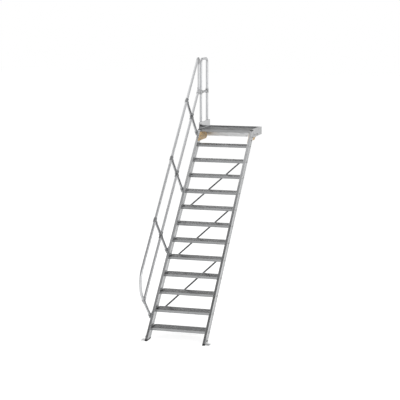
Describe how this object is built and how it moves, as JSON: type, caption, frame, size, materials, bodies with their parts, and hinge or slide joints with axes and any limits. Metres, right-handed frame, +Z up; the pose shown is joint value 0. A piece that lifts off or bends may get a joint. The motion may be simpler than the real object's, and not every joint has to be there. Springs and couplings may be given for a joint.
{
  "type": "aluminium stair",
  "caption": "Straight aluminium stair with ribbed treads between box stringers, a small platform at its head, a tube handrail on its left and a guard hoop.",
  "frame": {"origin": "middle of the flat back of the platform's rear beam, where the stair is bolted to a wall or floor edge", "axes": "+Z up, +Y up the stair and into the wall, +X to the right of someone who climbs it"},
  "size_m": [1.006, 3.4701, 3.8668],
  "materials": {
    "stringer_aluminium": "mill satin",
    "tread_aluminium": "ribbed, satin",
    "frame_aluminium": "mill satin",
    "rail_aluminium": "brushed satin",
    "fitting_metal": "cast, matt",
    "splice_metal": "satin amber coating",
    "foot_plastic": "matt black"
  },
  "bodies": {
    "root": {"left_stringer": "stringer_aluminium", "right_stringer": "stringer_aluminium", "tread_01": "tread_aluminium", "tread_02": "tread_aluminium", "tread_03": "tread_aluminium", "tread_04": "tread_aluminium", "tread_05": "tread_aluminium", "tread_06": "tread_aluminium", "tread_07": "tread_aluminium", "tread_08": "tread_aluminium", "tread_09": "tread_aluminium", "tread_10": "tread_aluminium", "tread_11": "tread_aluminium", "tread_12": "tread_aluminium", "front_deck_plank": "tread_aluminium", "middle_deck_plank": "tread_aluminium", "rear_deck_plank": "tread_aluminium", "left_side_beam": "frame_aluminium", "right_side_beam": "frame_aluminium", "rear_beam": "frame_aluminium", "cross_beam": "frame_aluminium", "toe_board": "frame_aluminium", "left_floor_bracket": "frame_aluminium", "right_floor_bracket": "frame_aluminium", "lower_brace": "frame_aluminium", "middle_brace": "frame_aluminium", "upper_brace": "frame_aluminium", "brace_clips": "frame_aluminium", "top_rail": "rail_aluminium", "knee_rail": "rail_aluminium", "lower_post": "rail_aluminium", "middle_post": "rail_aluminium", "upper_post": "rail_aluminium", "platform_hoop": "rail_aluminium", "hoop_mid_rail": "rail_aluminium", "rail_tees": "fitting_metal", "knee_crosses": "fitting_metal", "knee_rail_ends": "fitting_metal", "post_brackets": "fitting_metal", "hoop_clamps": "fitting_metal", "hoop_brackets": "fitting_metal", "left_splice_plate": "splice_metal", "right_splice_plate": "splice_metal", "stringer_feet": "foot_plastic", "stringer_caps": "foot_plastic"}
  },
  "joints": []
}
